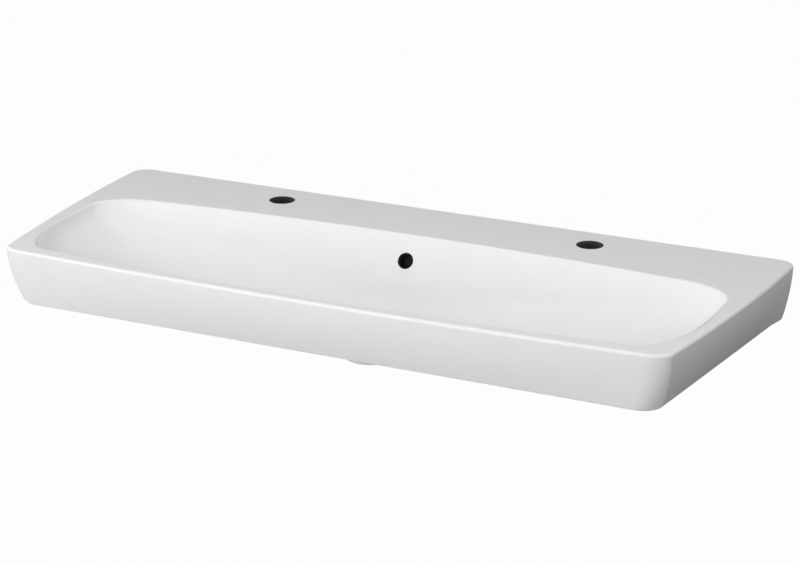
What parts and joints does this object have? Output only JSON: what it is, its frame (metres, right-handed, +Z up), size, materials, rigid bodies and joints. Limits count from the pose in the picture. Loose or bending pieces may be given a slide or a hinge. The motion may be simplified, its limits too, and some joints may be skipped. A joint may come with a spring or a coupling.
{
  "type": "double washbasin",
  "caption": "Wall-hung double washbasin: one wide glazed china trough with two tap holes, an overflow and a push-open waste.",
  "frame": {"origin": "on the wall plane, midway between the two wall-fixing holes, 45 mm below the rim", "axes": "+X along the wall, to the right for a person in front of the basin; +Y towards the wall; +Z up"},
  "size_m": [1.2, 0.5045, 0.158],
  "materials": {
    "china": "white glaze, high gloss",
    "bush_plastic": "moulded",
    "chrome_plate": "polished",
    "seal_rubber": "moulded",
    "washer_plastic": "moulded",
    "nut_brass": "turned",
    "click_plastic": "moulded",
    "cam_plastic": "moulded",
    "spring_steel": "drawn wire"
  },
  "bodies": {
    "basin": {"basin": "china", "wall_bushes": "bush_plastic", "waste_body": "chrome_plate", "flange_seal": "seal_rubber", "lower_seal": "seal_rubber", "slip_washer": "washer_plastic", "lock_nut": "nut_brass", "click_sleeve": "click_plastic", "sleeve_end_cap": "click_plastic", "click_spring": "spring_steel"},
    "plug": {"plunger": "click_plastic", "stem_lock_nut": "nut_brass", "plug_stem": "nut_brass", "plug_seal": "seal_rubber", "plug_cap": "chrome_plate"},
    "cam": {"cam_ring": "cam_plastic"}
  },
  "joints": [
    {"name": "plug_click", "type": "slide", "parent": "basin", "child": "plug", "axis": [0, 0, 1], "range_m": [-0.008, 0], "stiffness_N_per_m": 600, "springref_m": 0.006, "deforming": ["click_spring"]},
    {"name": "cam_turn", "type": "hinge", "parent": "plug", "child": "cam", "pos_m": [0, -0.295, -0.0785], "axis": [0, 0, 1], "range_deg": [-45, 0]}
  ],
  "couplings": [
    {"joint": "cam_turn", "follows": "plug_click", "rad_per_m": 98.17}
  ]
}
